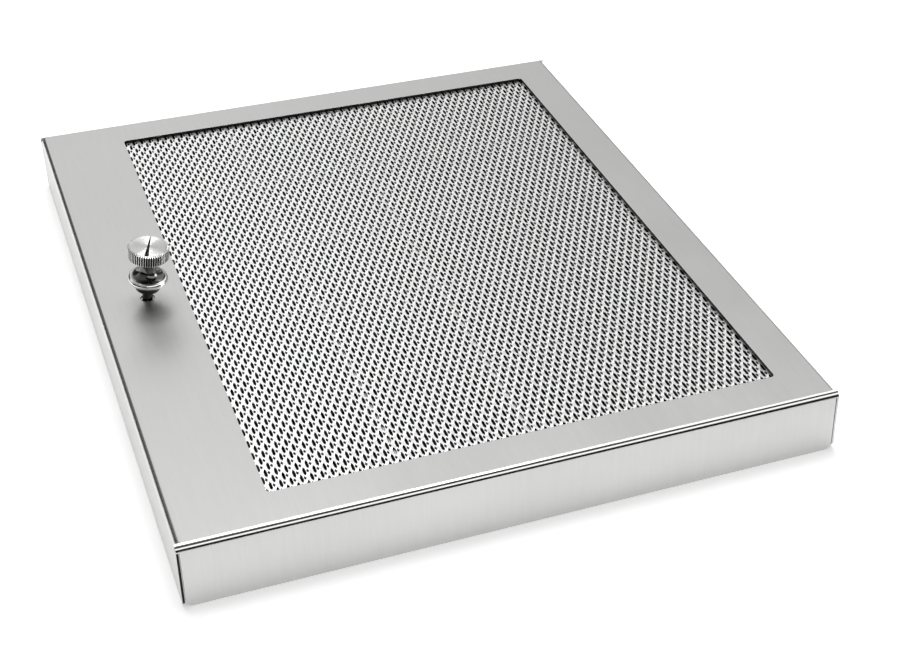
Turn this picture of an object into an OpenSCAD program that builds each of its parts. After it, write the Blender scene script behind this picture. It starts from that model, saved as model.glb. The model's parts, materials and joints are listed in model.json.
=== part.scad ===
// Carbon filter cassette for a cooker hood: a folded steel tray with a mesh window, a grid of
// carbon cells behind the mesh, and one captive thumb screw in its wide border.
// Millimetres. The origin is the middle of the footprint, on the plane of the rims. +Z points out
// of the face that shows in use, -X is the side with the screw, and -Y is the front.

/* [Cassette] */
// Width of the cassette, across the border with the screw
cassette_w = 305; // [280:5:360]
// Depth of the cassette
cassette_d = 380; // [340:5:440]
// Height of the folded sides
cassette_h = 32; // [30:1:40]
// Thickness of the folded sheet
sheet_t = 1; // [0.8:0.1:1.2]
// Outside radius of the folds
fold_r = 3; // [2:0.5:4]
// Radius of the free lower corners of the sides
side_corner_r = 4; // [2:1:8]
// Open seam between two sides at a corner
seam_w = 0.4; // [0.3:0.1:1]

/* [Window] */
// Width of the plain border on three sides of the window
border_w = 22; // [20:1:28]
// Width of the border that carries the screw
screw_border_w = 43; // [40:1:60]
// Radius of the window's corners
window_r = 2; // [1:0.5:5]

/* [Mesh sheets] */
// Thickness of an expanded mesh sheet, over its strands
mesh_t = 1.2; // [1:0.1:1.6]
// Openings in the longest row across the window
mesh_cols = 10; // [6:1:10]
// Rows of openings from front to back
mesh_rows = 6; // [4:1:6]
// Width of a strand at its foot, as a share of an opening's pitch
strand_foot = 0.36; // [0.3:0.02:0.4]
// Width of a strand's crest, as a share of an opening's pitch
strand_crest = 0.2; // [0.16:0.02:0.26]

/* [Carbon bed] */
// Width of the rails' lips, which hold the mesh sheets outside the window
rail_w = 10; // [9:1:12]
// Thickness of the rails' sheet
rail_t = 0.8; // [0.6:0.1:1]
// Outside radius of the rails' bends
rail_bend_r = 1.6; // [1.2:0.2:2]
// Strips that run from front to back
long_strips = 3; // [2:1:5]
// Strips that run across
cross_strips = 4; // [2:1:6]
// Thickness of a strip
strip_t = 1.5; // [0.8:0.1:2]
// Play between the two strips of a halved joint
strip_play = 0.1; // [0.06:0.02:0.2]
// How far the carbon has settled below the front mesh
carbon_settled = 5; // [2:1:8]

/* [Rear cover] */
// Thickness of the rear cover
cover_t = 1; // [0.8:0.1:1.2]
// Height of the cover's upturned edge
cover_edge_h = 8; // [5:1:12]
// Height of the cover above the plane of the rims
cover_rise = 2.2; // [2:0.1:3]
// Outside radius of the cover's corners
cover_corner_r = 1.5; // [1.5:0.1:2]
// Play between the cover's edge and the rails
cover_play = 0.2; // [0.1:0.1:0.4]
// Screws along each of the two long sides
side_screws = 3; // [2:1:5]
// Screws along each of the two short sides
end_screws = 2; // [2:1:4]

/* [Thumb screw] */
// Distance of the screw's hole from the outer face of its side
screw_inset = 24.8; // [20:0.2:30]
// Diameter of the screw's shank
shank_d = 5; // [4:1:6]
// Diameter of the loose hole in the sheet
screw_hole_d = 7; // [6.5:0.5:8]
// Diameter of the knurled head
head_d = 19.8; // [16:0.2:24]
// Height of the knurled head
head_h = 5.3; // [4:0.1:7]
// Height of the head's top above the collar's seat
head_top = 25; // [22:0.5:30]
// Grooves of the straight knurl
knurl_grooves = 56; // [40:2:72]
// Diameter of the polished flange
flange_d = 19.2; // [16:0.2:22]
// Diameter of the collar that seats on the sheet
collar_d = 12; // [10:0.5:14]
// Height at which the loose screw stands, with its tip on the table
screw_lift = 5.5; // [3:0.5:7]
// Lean of the loose screw away from its own side, in degrees
lean_side = 6.5; // [0:0.5:7]
// Lean of the loose screw towards the front, in degrees
lean_front = 5; // [0:0.5:6]

/* [Hidden] */
$fn = 64;

LONG_NAMES = [for (i = [1:long_strips]) str("long_strip_", i)];
CROSS_NAMES = [for (i = [1:cross_strips]) str("cross_strip_", i)];

over = 1;                                    // how far a cutter runs past a face
left_x = -cassette_w / 2;
front_y = -cassette_d / 2;

window_w = cassette_w - screw_border_w - border_w;
window_d = cassette_d - 2 * border_w;
window_x = (screw_border_w - border_w) / 2;  // middle of the window, across

rail_foot = cover_rise + cover_t;
rail_top = cassette_h - sheet_t;
rail_h = rail_top - rail_foot;
front_mesh_top = rail_top - rail_t;          // the mesh sheets lie inside the rails' lips
rear_mesh_low = rail_foot + rail_t;
strip_low = rear_mesh_low + mesh_t;
strip_high = front_mesh_top - mesh_t;
strip_h = strip_high - strip_low;
bed_w = window_w + 2 * rail_w;
bed_d = window_d + 2 * rail_w;
mitre_gap = 0.1;
strip_end_play = 0.3;                        // between a strip's end and the rail's wall

cell_w = window_w / (long_strips + 1);
cell_d = window_d / (cross_strips + 1);
cell_play = 0.2;                             // between the carbon and what walls it in

cover_screw_d = 2.9;
cover_screw_hole_d = 3.4;
cover_screw_core_d = 3;
cover_screw_l = 6;
cover_screw_head_d = 5.6;
cover_screw_head_h = 1.7;
cover_screw_inset = 5.5;                     // from the rail's outer face

slot_l = 24;
slot_w = 3;
slot_step = 220;
slot_z = cassette_h / 2;

screw_x = left_x + screw_inset;
free_rise = 4;                               // play between the washer and the sheet, at rest
washer_d = 12;
washer_t = 1;
washer_hole_d = shank_d + 0.2;
clip_d = 10;
clip_t = 0.7;
groove_d = shank_d - 0.8;
groove_h = 0.8;
washer_low = -(screw_lift + sheet_t + free_rise + washer_t);
groove_low = washer_low - groove_h;
tip_play = 0.1;                              // between the screw's tip and the table
tip_d = 3.6;
tip_cone_h = 1;
knurl_depth = 0.45;
head_bevel = 0.5;
coin_slot_w = 2;                              // at its near end
coin_slot_end_w = 0.3;                        // at its far end, to which it tapers
coin_slot_depth = 2;
coin_slot_angle = 17;                        // from front to back, turned clockwise seen from above
coin_slot_land = 1.3;                        // between the slot's end and the knurl

// Length of the screw below its collar: down to the table along the leaning axis
lean_cos = cos(lean_side) * cos(lean_front);
lean_sin = sqrt(1 - lean_cos * lean_cos);
shank_l = screw_lift + (cassette_h - tip_play - lean_sin * tip_d / 2) / lean_cos;

// Rectangle about the origin with round corners
module round_rect(w, d, r) {
    square([w - 2 * r, d], center = true);
    square([w, d - 2 * r], center = true);
    for (x = [-1, 1], y = [-1, 1])
        translate([x * (w / 2 - r), y * (d / 2 - r)]) circle(r);
}

// One side of the tray, seen flat: square at the fold, its lower corners round
module side_outline(length, height, r) {
    translate([-length / 2, r]) square([length, height - r]);
    translate([-length / 2 + r, 0]) square([length - 2 * r, height]);
    for (x = [-1, 1])
        translate([x * (length / 2 - r), r]) circle(r);
}

// Quarter ring of a fold that turns from a level sheet down into a side
module fold_profile(r, t) {
    intersection() {
        difference() {
            circle(r);
            circle(r - t);
        }
        translate([-r, 0]) square(r);
    }
}

// A side with its fold, along X, with its outer face on y = 0
module tray_side(side_length, fold_length) {
    translate([0, sheet_t, 0]) rotate([90, 0, 0]) linear_extrude(sheet_t)
        side_outline(side_length, cassette_h - fold_r, side_corner_r);
    translate([-fold_length / 2, fold_r, cassette_h - fold_r]) rotate([90, 0, 90])
        linear_extrude(fold_length) fold_profile(fold_r, sheet_t);
}

// Slot in the far side that hangs on a tongue of the hood
module tongue_slot() {
    rotate([0, 90, 0]) linear_extrude(sheet_t + 2 * over) {
        square([slot_w, slot_l - slot_w], center = true);
        for (y = [-1, 1])
            translate([0, y * (slot_l - slot_w) / 2]) circle(slot_w / 2);
    }
}

// The tray: one sheet, folded down on its four sides, with the window cut out of it
module outer_frame() {
    front_side = cassette_w - 2 * (sheet_t + seam_w);
    side_fold = cassette_d - 2 * (fold_r + seam_w);
    color("silver") difference() {
        union() {
            translate([0, 0, rail_top]) linear_extrude(sheet_t) difference() {
                square([cassette_w - 2 * fold_r, cassette_d - 2 * fold_r], center = true);
                translate([window_x, 0]) round_rect(window_w, window_d, window_r);
            }
            for (turn = [0, 180])
                rotate(turn) translate([0, front_y, 0]) tray_side(front_side, cassette_w);
            for (turn = [90, 270])
                rotate(turn) translate([0, left_x, 0]) tray_side(cassette_d, side_fold);
        }
        translate([screw_x, 0, rail_top - over]) cylinder(d = screw_hole_d, h = sheet_t + 2 * over);
        for (y = [-1, 1])
            translate([-left_x - sheet_t - over, y * slot_step / 2, slot_z]) tongue_slot();
    }
}

// Openings of an expanded mesh: diamonds in rows, each second row shifted by half a pitch
module mesh_openings(strand) {
    pitch_x = window_w / mesh_cols;
    pitch_y = window_d / mesh_rows;
    half_w = pitch_x * (1 - strand) / 2;
    half_d = pitch_y * (1 - strand) / 2;
    for (row = [0:2 * mesh_rows - 2]) {
        shifted = row % 2;
        for (col = [0:mesh_cols - 1 - shifted])
            translate([(col + (1 + shifted) / 2) * pitch_x - window_w / 2, (row + 1) * pitch_y / 2 - window_d / 2])
                polygon([[-half_w, 0], [0, -half_d], [half_w, 0], [0, half_d]]);
    }
}

// An expanded mesh sheet with a plain margin: broad strand feet behind narrower crests
module mesh_sheet(foot_z, crest_z) {
    for (layer = [[foot_z, strand_foot], [crest_z, strand_crest]])
        translate([window_x, 0, layer[0]]) linear_extrude(mesh_t / 2) difference() {
            square([bed_w - 2 * rail_bend_r, bed_d - 2 * rail_bend_r], center = true);
            mesh_openings(layer[1]);
        }
}

module front_mesh() {
    color("gainsboro") mesh_sheet(strip_high, strip_high + mesh_t / 2);
}

module rear_mesh() {
    color("gainsboro") difference() {
        mesh_sheet(rear_mesh_low + mesh_t / 2, rear_mesh_low);
        cover_screw_places() cylinder(d = cover_screw_hole_d, h = 2 * (rail_t + mesh_t + over), center = true);
    }
}

// Channel section of a rail: wall at x = 0, lips towards +x
module channel_profile(w, h, t, r) {
    difference() {
        bend_block(w, h, r);
        translate([t, t]) bend_block(w, h - 2 * t, r - t);
    }
}

module bend_block(w, h, r) {
    translate([r, 0]) square([w - r, h]);
    translate([0, r]) square([w, h - 2 * r]);
    for (y = [r, h - r])
        translate([r, y]) circle(r);
}

// A rail along Y with mitred ends, its wall on x = 0 and its lips towards +X
module rail(length) {
    end = length / 2 - mitre_gap;
    intersection() {
        translate([0, length / 2, 0]) rotate([90, 0, 0]) linear_extrude(length)
            channel_profile(rail_w, rail_h, rail_t, rail_bend_r);
        linear_extrude(rail_h)
            polygon([[0, -end], [rail_w, rail_w - end], [rail_w, end - rail_w], [0, end]]);
    }
}

module place_rail(turn, across, length) {
    color("lightgray") difference() {
        translate([window_x, 0, rail_foot]) rotate(turn) translate([-across / 2, 0, 0]) rail(length);
        cover_screw_places() cylinder(d = cover_screw_core_d, h = 2 * (rail_t + over), center = true);
    }
}

module rail_left() place_rail(0, bed_w, bed_d);
module rail_right() place_rail(180, bed_w, bed_d);
module rail_front() place_rail(90, bed_d, bed_w);
module rail_back() place_rail(270, bed_d, bed_w);

// Strip of the carbon grid, lying along x with its foot on y = 0, and its halved joints
module strip_outline(window_l, crossings, from_below) {
    half_l = window_l / 2 + rail_w - rail_t - strip_end_play;
    step = window_l / (crossings + 1);
    slot_h = strip_h / 2 + strip_play;
    difference() {
        translate([-half_l, 0]) square([2 * half_l, strip_h]);
        for (i = [1:crossings])
            translate([i * step - window_l / 2 - (strip_t + strip_play) / 2, from_below ? -over : strip_h - slot_h])
                square([strip_t + strip_play, slot_h + over]);
    }
}

// Strip from front to back, slotted from below
module long_strip(i) {
    color("whitesmoke")
        translate([window_x + i * cell_w - window_w / 2 - strip_t / 2, 0, strip_low])
            rotate([90, 0, 90]) linear_extrude(strip_t) strip_outline(window_d, cross_strips, true);
}

// Strip from side to side, slotted from above
module cross_strip(i) {
    color("whitesmoke")
        translate([window_x, i * cell_d - window_d / 2 + strip_t / 2, strip_low])
            rotate([90, 0, 0]) linear_extrude(strip_t) strip_outline(window_w, long_strips, false);
}

// Where a cell starts and ends: at a strip, or at a rail's wall for the first and the last one
function cell_start(i, cell, window_l) =
    (i == 0 ? rail_t - rail_w : i * cell + strip_t / 2) - window_l / 2 + cell_play;
function cell_end(i, cells, cell, window_l) =
    (i == cells - 1 ? window_l + rail_w - rail_t : (i + 1) * cell - strip_t / 2) - window_l / 2 - cell_play;

// Carbon pellets, one block for each cell of the grid
module carbon_fill() {
    color([0.09, 0.09, 0.1]) difference() {
        for (i = [0:long_strips], j = [0:cross_strips]) {
            x = cell_start(i, cell_w, window_w);
            y = cell_start(j, cell_d, window_d);
            translate([window_x + x, y, strip_low])
                cube([
                    cell_end(i, long_strips + 1, cell_w, window_w) - x,
                    cell_end(j, cross_strips + 1, cell_d, window_d) - y,
                    strip_h - carbon_settled
                ]);
        }
        cover_screw_places() cylinder(d = cover_screw_hole_d, h = 2 * cover_screw_l, center = true);
    }
}

// Which cells have a cover screw beside them, spread evenly from the first to the last
function screw_cells(count, cells) = [for (i = [0:count - 1]) round(i * (cells - 1) / (count - 1))];

// Puts its children at the cover screws, on the cover's upper face
module cover_screw_places() {
    side_x = bed_w / 2 - cover_screw_inset;
    end_y = bed_d / 2 - cover_screw_inset;
    translate([window_x, 0, rail_foot]) {
        for (x = [-side_x, side_x], j = screw_cells(side_screws, cross_strips + 1))
            translate([x, (j + 0.5) * cell_d - window_d / 2, 0]) children();
        for (y = [-end_y, end_y], i = screw_cells(end_screws, long_strips + 1))
            translate([(i + 0.5) * cell_w - window_w / 2, y, 0]) children();
    }
}

// Flat ring that holds the rear mesh up, with an upturned edge round the rails
module rear_cover() {
    outer_w = bed_w + 2 * (cover_play + cover_t);
    outer_d = bed_d + 2 * (cover_play + cover_t);
    color("silver") difference() {
        union() {
            translate([window_x, 0, cover_rise]) linear_extrude(cover_t) difference() {
                round_rect(outer_w, outer_d, cover_corner_r);
                round_rect(window_w, window_d, window_r);
            }
            translate([window_x, 0, cover_rise]) linear_extrude(cover_edge_h) difference() {
                round_rect(outer_w, outer_d, cover_corner_r);
                round_rect(outer_w - 2 * cover_t, outer_d - 2 * cover_t, cover_corner_r - cover_t);
            }
        }
        cover_screw_places() cylinder(d = cover_screw_hole_d, h = 2 * (cover_t + over), center = true);
    }
}

// Pan-head screw, its head under the cover and its shank up through the rail's lip
module cover_screw() {
    head_low = -cover_t - cover_screw_head_h;
    rotate_extrude() polygon([
        [0, head_low],
        [cover_screw_head_d / 2 - 0.8, head_low],
        [cover_screw_head_d / 2, head_low + 0.8],
        [cover_screw_head_d / 2, -cover_t],
        [cover_screw_d / 2, -cover_t],
        [cover_screw_d / 2, cover_screw_l - cover_t - 1],
        [0, cover_screw_l - cover_t]
    ]);
}

module cover_screws() {
    color("dimgray") cover_screw_places() cover_screw();
}

// Puts its children on the screw's leaning axis, with z = 0 at the seat of its collar
module on_screw_axis() {
    translate([screw_x, 0, cassette_h]) rotate([lean_front, lean_side, 0])
        translate([0, 0, screw_lift]) children();
}

// Quarter and half arcs of a turned profile, as points from angle a to angle b
function arc(cx, cz, r, a, b, steps) =
    [for (i = [0:steps]) [cx + r * cos(a + (b - a) * i / steps), cz + r * sin(a + (b - a) * i / steps)]];

// Half section of the turned screw, without its head: shank, collar, flange and waisted neck
function screw_profile() =
    let (
        shank = shank_d / 2,
        collar = collar_d / 2,
        collar_edge = 1.4,
        flange_edge = 1.9,
        flange_mid = 6.6,
        flange_mid_r = flange_d / 2 - flange_edge,
        neck_top_r = 6,
        neck_low = flange_mid + flange_edge,
        neck_high = head_top - head_h,
        waist_r = 4.2,
        flare = 0.5
    )
    concat(
        [[0, -shank_l], [tip_d / 2, -shank_l], [shank, tip_cone_h - shank_l], [shank, groove_low]],
        [[groove_d / 2, groove_low], [groove_d / 2, groove_low + groove_h], [shank, groove_low + groove_h]],
        [[shank, 0]],
        arc(collar - collar_edge, collar_edge, collar_edge, -90, 0, 6),
        [[collar, flange_mid - flange_edge - 0.7], [collar + 0.7, flange_mid - flange_edge]],
        arc(flange_mid_r, flange_mid, flange_edge, -90, 90, 8),
        [for (i = [1:16])
            let (u = i / 16, z = neck_low + u * (neck_high - neck_low))
            [u < flare
                ? waist_r + (flange_mid_r - waist_r) * pow(1 - u / flare, 3)
                : waist_r + (neck_top_r - waist_r) * pow((u - flare) / (1 - flare), 2), z]],
        [[0, neck_high]]
    );

// Outline of the straight knurl: a crest and a groove for each tooth
function knurl_points() =
    [for (i = [0:2 * knurl_grooves - 1])
        let (r = head_d / 2 - (i % 2) * knurl_depth, a = i * 180 / knurl_grooves)
        [r * cos(a), r * sin(a)]];

// Knurled head with bevelled edges and a blind coin slot
module screw_head() {
    bevel = head_bevel;
    difference() {
        intersection() {
            translate([0, 0, head_top - head_h]) linear_extrude(head_h) polygon(knurl_points());
            rotate_extrude() polygon([
                [0, head_top - head_h - over],
                [head_d / 2 - bevel - over, head_top - head_h - over],
                [head_d / 2 + over, head_top - head_h + bevel + over],
                [head_d / 2 + over, head_top - bevel - over],
                [head_d / 2 - bevel - over, head_top + over],
                [0, head_top + over]
            ]);
        }
        translate([0, 0, head_top - coin_slot_depth]) rotate(-coin_slot_angle)
            linear_extrude(2 * coin_slot_depth) polygon([
                [-coin_slot_w / 2, coin_slot_land - head_d / 2],
                [coin_slot_w / 2, coin_slot_land - head_d / 2],
                [coin_slot_end_w / 2, head_d / 2 - coin_slot_land],
                [-coin_slot_end_w / 2, head_d / 2 - coin_slot_land]
            ]);
    }
}

module thumb_screw() {
    color("lightsteelblue") on_screw_axis() {
        rotate_extrude() polygon(screw_profile());
        screw_head();
    }
}

// Washer that slides with the screw and stops it under the sheet
module retaining_washer() {
    color("gray") on_screw_axis() translate([0, 0, washer_low]) linear_extrude(washer_t) difference() {
        circle(d = washer_d);
        circle(d = washer_hole_d);
    }
}

// Open clip in the shank's groove that carries the washer
module retaining_clip() {
    seat_d = groove_d + 0.1;
    mouth_w = seat_d - 0.6;
    notch_d = 1.6;
    color("darkgray") on_screw_axis() translate([0, 0, groove_low + (groove_h - clip_t)]) linear_extrude(clip_t)
        difference() {
            circle(d = clip_d);
            circle(d = seat_d);
            translate([0, -mouth_w / 2]) square([clip_d, mouth_w]);
            for (turn = [60, -60])
                rotate(180 + turn) translate([(seat_d + notch_d) / 2 - 0.4, 0]) circle(d = notch_d);
        }
}

outer_frame();
front_mesh();
rear_mesh();
rail_left();
rail_right();
rail_front();
rail_back();
for (i = [1:long_strips])
    long_strip(i);
for (i = [1:cross_strips])
    cross_strip(i);
carbon_fill();
rear_cover();
cover_screws();
retaining_washer();
retaining_clip();
thumb_screw();
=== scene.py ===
"""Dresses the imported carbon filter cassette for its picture: expanded mesh, carbon pellets, turned
thumb screw, cover screws and steel finishes, on a pale studio floor. Lengths are in metres."""

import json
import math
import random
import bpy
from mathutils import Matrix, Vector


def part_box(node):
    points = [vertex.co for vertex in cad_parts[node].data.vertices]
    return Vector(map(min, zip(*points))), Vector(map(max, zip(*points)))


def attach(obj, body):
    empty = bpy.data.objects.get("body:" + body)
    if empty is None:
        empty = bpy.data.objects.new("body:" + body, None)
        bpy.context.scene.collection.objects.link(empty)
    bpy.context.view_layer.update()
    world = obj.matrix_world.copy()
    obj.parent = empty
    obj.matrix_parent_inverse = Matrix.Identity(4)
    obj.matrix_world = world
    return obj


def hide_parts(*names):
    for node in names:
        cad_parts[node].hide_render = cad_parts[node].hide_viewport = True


bl_info = {
    "name": "Carbon Filter Cassette",
    "version": (1, 0, 0),
    "blender": (4, 5, 0),
    "location": "3D View > Sidebar > Cassette",
    "description": "Models and finishes the pieces of a cooker hood carbon filter cassette",
    "category": "Object",
}

import bmesh
import bpy
from mathutils import Vector

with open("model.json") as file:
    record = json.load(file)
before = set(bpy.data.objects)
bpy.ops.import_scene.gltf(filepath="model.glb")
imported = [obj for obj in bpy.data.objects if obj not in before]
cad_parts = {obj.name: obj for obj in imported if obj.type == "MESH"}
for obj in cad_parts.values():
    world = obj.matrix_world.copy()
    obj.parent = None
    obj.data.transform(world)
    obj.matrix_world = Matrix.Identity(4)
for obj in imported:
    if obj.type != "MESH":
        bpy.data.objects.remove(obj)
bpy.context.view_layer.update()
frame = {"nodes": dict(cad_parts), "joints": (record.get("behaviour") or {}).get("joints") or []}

MM = 0.001
WELD = 0.00001                      # vertices nearer than this are one
TOUCH = 0.00002                     # how exactly a vertex is found by its place

TRAY_LOW, TRAY_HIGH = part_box("outer_frame")
FRONT_LOW, FRONT_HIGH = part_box("front_mesh")
REAR_LOW, REAR_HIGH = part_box("rear_mesh")
CARBON_LOW, CARBON_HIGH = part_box("carbon_fill")
COVER_LOW, COVER_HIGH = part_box("rear_cover")
TURN = next(joint for joint in frame["joints"] if joint["name"] == "screw_turn")
SCREW_SEAT = Vector(TURN["pos_m"])
SCREW_AXIS = Vector(TURN["axis"])
LONG_STRIPS = [name for name in sorted(frame["nodes"]) if name.startswith("long_strip")]
CROSS_STRIPS = [name for name in sorted(frame["nodes"]) if name.startswith("cross_strip")]
RAILS = [name for name in sorted(frame["nodes"]) if name.startswith("rail_")]

WINDOW_X = (FRONT_LOW.x + FRONT_HIGH.x) / 2
WINDOW_W = 240 * MM
WINDOW_D = 336 * MM
TOWARD_CAMERA = Vector((-0.3855, -0.9227, 0))


def length(name, words, value, low=0.0, high=1.0):
    """A size property, in metres."""
    return bpy.props.FloatProperty(
        name=name, description=words, default=value, min=low, max=high, precision=5, unit="LENGTH"
    )


def share(name, words, value, low=0.0, high=1.0):
    """A plain number property."""
    return bpy.props.FloatProperty(
        name=name, description=words, default=value, min=low, max=high, subtype="FACTOR"
    )


def angle(name, words, degrees):
    """An angle property, given here in degrees."""
    return bpy.props.FloatProperty(
        name=name, description=words, default=math.radians(degrees), subtype="ANGLE"
    )


def colour(name, words, value):
    """A colour property, linear."""
    return bpy.props.FloatVectorProperty(
        name=name, description=words, default=value, size=3, min=0.0, max=1.0, subtype="COLOR"
    )


def count(name, words, value, low, high):
    """A whole number property."""
    return bpy.props.IntProperty(name=name, description=words, default=value, min=low, max=high)


class TrayFinish(bpy.types.PropertyGroup):
    """The folded tray and its brushed steel."""

    steel: colour("Steel", "Colour of the brushed sheet", (0.56, 0.56, 0.555))
    edge_round: length("Edge rounding", "Radius on the sheet's cut edges", 0.15 * MM, 0.0, 0.0005)
    grain_depth: share("Grain depth", "Strength of the brush marks", 0.35)


class MeshSize(bpy.types.PropertyGroup):
    """Pitch and opening of the expanded mesh."""

    pitch_x: length("Pitch across", "From opening to opening, across", 4.5 * MM, 0.003, 0.01)
    pitch_y: length("Pitch in depth", "From opening to opening, front to back", 9 * MM, 0.006, 0.02)
    opening_w: length("Opening width", "Width of an opening at the crest", 1.3 * MM, 0.0005, 0.004)
    opening_l: length("Opening length", "Length of an opening at the crest", 6.1 * MM, 0.003, 0.008)
    side_half: length("Opening side", "Half of an opening's straight side", 1.55 * MM, 0.0005, 0.003)
    undercut: length("Undercut", "How much wider an opening is on its far side", 0.55 * MM, 0.0, 0.0008)
    hollow_w: length("Hollow width", "Width of the hollow pressed beside an opening", 1.35 * MM, 0.0, 0.002)
    hollow_l: length("Hollow length", "Length of the hollow", 2.9 * MM, 0.0, 0.004)
    hollow_x: length("Hollow place", "From the bond's middle to the hollow", 0.8 * MM, 0.0, 0.002)
    hollow_deep: length("Hollow depth", "Depth of the hollow", 0.7 * MM, 0.0, 0.001)
    slope: length("Slope", "How far a bond falls away on its other side", 0.18 * MM, 0.0, 0.0004)
    steel: colour("Steel", "Colour of the strands", (0.97, 0.97, 0.97))


class CarbonSize(bpy.types.PropertyGroup):
    """Pellets of activated carbon."""

    pellet_d: length("Pellet diameter", "Diameter of a pellet", 4 * MM, 0.002, 0.006)
    pellet_l: length("Pellet length", "Length of a pellet", 6 * MM, 0.003, 0.01)
    seed: count("Seed", "Seed of the pellets' turns", 7, 0, 999)
    black: colour("Black", "Colour of the carbon", (0.012, 0.012, 0.013))


class ScrewSize(bpy.types.PropertyGroup):
    """The turned thumb screw."""

    lift: length("Lift", "Height of the collar above its seat, loose", 5.5 * MM, 0.003, 0.007)
    lean_front: angle("Lean to the front", "Lean of the loose screw to the front", 5)
    lean_side: angle("Lean to the side", "Lean of the loose screw away from its side", 6.5)
    head_d: length("Head", "Diameter of the knurled head", 19.8 * MM, 0.015, 0.025)
    head_h: length("Head height", "Height of the knurled head", 6.1 * MM, 0.004, 0.007)
    head_top: length("Head top", "Head's top above the collar's seat", 25 * MM, 0.02, 0.03)
    grooves: count("Knurl grooves", "Grooves of the straight knurl", 56, 40, 72)
    knurl_depth: length("Knurl depth", "Depth of a groove", 0.6 * MM, 0.0002, 0.0008)
    slot_w: length("Slot width", "Width of the coin slot", 2 * MM, 0.001, 0.003)
    slot_narrow: share("Slot narrowing", "Width of the slot's far end against its near end", 0.15)
    slot_depth: length("Slot depth", "Depth of the coin slot", 2 * MM, 0.001, 0.003)
    slot_land: length("Slot land", "From the slot's end to the knurl", 1.3 * MM, 0.0005, 0.003)
    slot_angle: angle("Slot angle", "Turn of the slot from front to back, clockwise", 17)
    flange_d: length("Flange", "Diameter of the polished flange", 19.2 * MM, 0.015, 0.022)
    collar_d: length("Collar", "Diameter of the collar", 12 * MM, 0.01, 0.014)
    shank_d: length("Shank", "Diameter of the threaded shank", 5 * MM, 0.004, 0.006)
    pitch: length("Thread pitch", "Pitch of the thread", 0.8 * MM, 0.0005, 0.001)
    steel: colour("Steel", "Colour of the polished neck and flange", (0.74, 0.735, 0.72))
    face: colour("Face", "Colour of the head's turned face", (0.76, 0.758, 0.75))


class CoverScrewSize(bpy.types.PropertyGroup):
    """The pan-head screws of the rear cover."""

    head_d: length("Head", "Diameter of a pan head", 5.6 * MM, 0.004, 0.007)
    head_h: length("Head height", "Height of a pan head", 1.7 * MM, 0.001, 0.003)
    shank_d: length("Shank", "Diameter of a shank", 2.9 * MM, 0.002, 0.004)
    shank_l: length("Shank length", "Length of a shank above the head", 6 * MM, 0.004, 0.01)
    inset: length("Inset", "From a rail's outer face to the screw", 5.5 * MM, 0.004, 0.008)


class StudioLook(bpy.types.PropertyGroup):
    """Camera, floor and light."""

    lens: bpy.props.FloatProperty(name="Lens", description="Focal length", default=69.434, unit="CAMERA")
    photo_w: count("Photo width", "Width of the photograph in pixels", 913, 100, 4000)
    centre_px: count("Centre shift", "Optical centre right of the middle, in pixels", 127, 0, 400)
    floor_white: share("Floor", "Colour of the floor", 0.86)
    soft_box: bpy.props.FloatProperty(
        name="Soft box", description="Power of the overhead light", default=18.0, min=0.0, unit="POWER"
    )


# Selecting and shaping


def start_clean():
    """Leaves edit mode and deselects everything."""
    if bpy.context.object and bpy.context.object.mode != "OBJECT":
        bpy.ops.object.mode_set(mode="OBJECT")
    bpy.ops.object.select_all(action="DESELECT")


def pick(piece):
    """Makes a piece the only selected and active one."""
    start_clean()
    piece.hide_set(False)
    piece.select_set(True)
    bpy.context.view_layer.objects.active = piece


def edit(mode="FACE"):
    """Opens the active piece in edit mode, with nothing selected."""
    bpy.ops.object.mode_set(mode="EDIT")
    bpy.ops.mesh.select_mode(type=mode)
    bpy.ops.mesh.select_all(action="DESELECT")


def choose(kind, test):
    """Selects the vertices, edges or faces of the piece in edit mode that pass a test, and counts them."""
    mesh = bpy.context.object.data
    shape = bmesh.from_edit_mesh(mesh)
    bpy.ops.mesh.select_mode(type={"verts": "VERT", "edges": "EDGE", "faces": "FACE"}[kind])
    bpy.ops.mesh.select_all(action="DESELECT")
    found = 0
    for part in getattr(shape, kind):
        if test(part):
            part.select_set(True)
            found += 1
    shape.select_flush_mode()
    bmesh.update_edit_mesh(mesh)
    return found


def reach(centre):
    """How far the selected vertices of the piece in edit mode reach from a place, on each axis."""
    shape = bmesh.from_edit_mesh(bpy.context.object.data)
    places = [vert.co - Vector(centre) for vert in shape.verts if vert.select]
    return [max(abs(place[axis]) for place in places) for axis in range(3)]


def middle(part):
    """Middle of an edge or face."""
    total = Vector()
    for vert in part.verts:
        total += vert.co
    return total / len(part.verts)


def slide(x=0.0, y=0.0, z=0.0):
    """Moves what is selected."""
    bpy.ops.transform.translate(value=(x, y, z))


def extrude(x=0.0, y=0.0, z=0.0):
    """Extrudes what is selected and moves the new part."""
    bpy.ops.mesh.extrude_region_move(TRANSFORM_OT_translate={"value": (x, y, z)})


def size(x=1.0, y=1.0, z=1.0, about=(0.0, 0.0, 0.0)):
    """Scales what is selected about a point."""
    bpy.ops.transform.resize(value=(x, y, z), center_override=about)


def weld(distance=WELD):
    """Merges the doubles of the piece in edit mode and turns its faces outwards."""
    bpy.ops.mesh.select_all(action="SELECT")
    bpy.ops.mesh.remove_doubles(threshold=distance)
    bpy.ops.mesh.normals_make_consistent(inside=False)


def add_modifier(piece, kind, **settings):
    """Adds a modifier with its settings."""
    modifier = piece.modifiers.new(kind.title(), kind)
    for name, value in settings.items():
        setattr(modifier, name, value)
    return modifier


def apply_modifier(piece, kind, **settings):
    """Adds a modifier and applies it at once."""
    modifier = add_modifier(piece, kind, **settings)
    pick(piece)
    bpy.ops.object.modifier_apply(modifier=modifier.name)


def subtract(piece, cutter):
    """Cuts one solid out of another and removes the cutter."""
    apply_modifier(piece, "BOOLEAN", operation="DIFFERENCE", object=cutter, solver="EXACT")
    bpy.data.objects.remove(cutter)


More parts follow.
